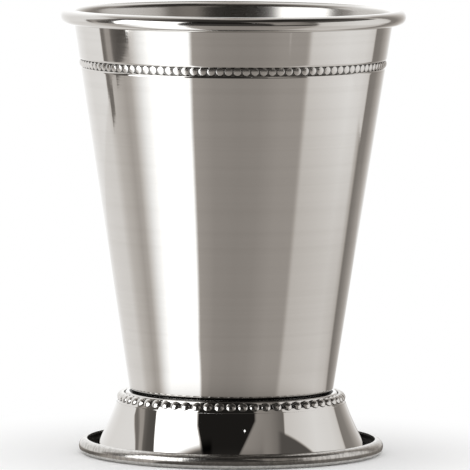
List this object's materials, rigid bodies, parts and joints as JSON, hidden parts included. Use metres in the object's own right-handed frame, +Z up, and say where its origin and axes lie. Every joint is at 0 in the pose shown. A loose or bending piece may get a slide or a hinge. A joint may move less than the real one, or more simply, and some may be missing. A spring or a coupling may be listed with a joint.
{
  "type": "julep cup",
  "caption": "Tapered round metal drinking cup with a curled rim and a beaded band, on a low spun foot with a beaded edge and a rolled hem.",
  "frame": {"origin": "centre of the circle that the hem of the foot stands on", "axes": "+Z up along the cup's axis; the cup is round, so +X and +Y are any two directions square to it"},
  "size_m": [0.0852, 0.0852, 0.11],
  "materials": {
    "bowl_metal": "polished steel with faint spin lines",
    "foot_metal": "mirror-polished steel",
    "bead_metal": "polished steel, darker between the beads",
    "solder": "dull grey solder"
  },
  "bodies": {
    "root": {"bowl": "bowl_metal", "beaded_band": "bead_metal", "foot": "foot_metal", "foot_bead_row": "bead_metal", "solder_ring": "solder"}
  },
  "joints": []
}
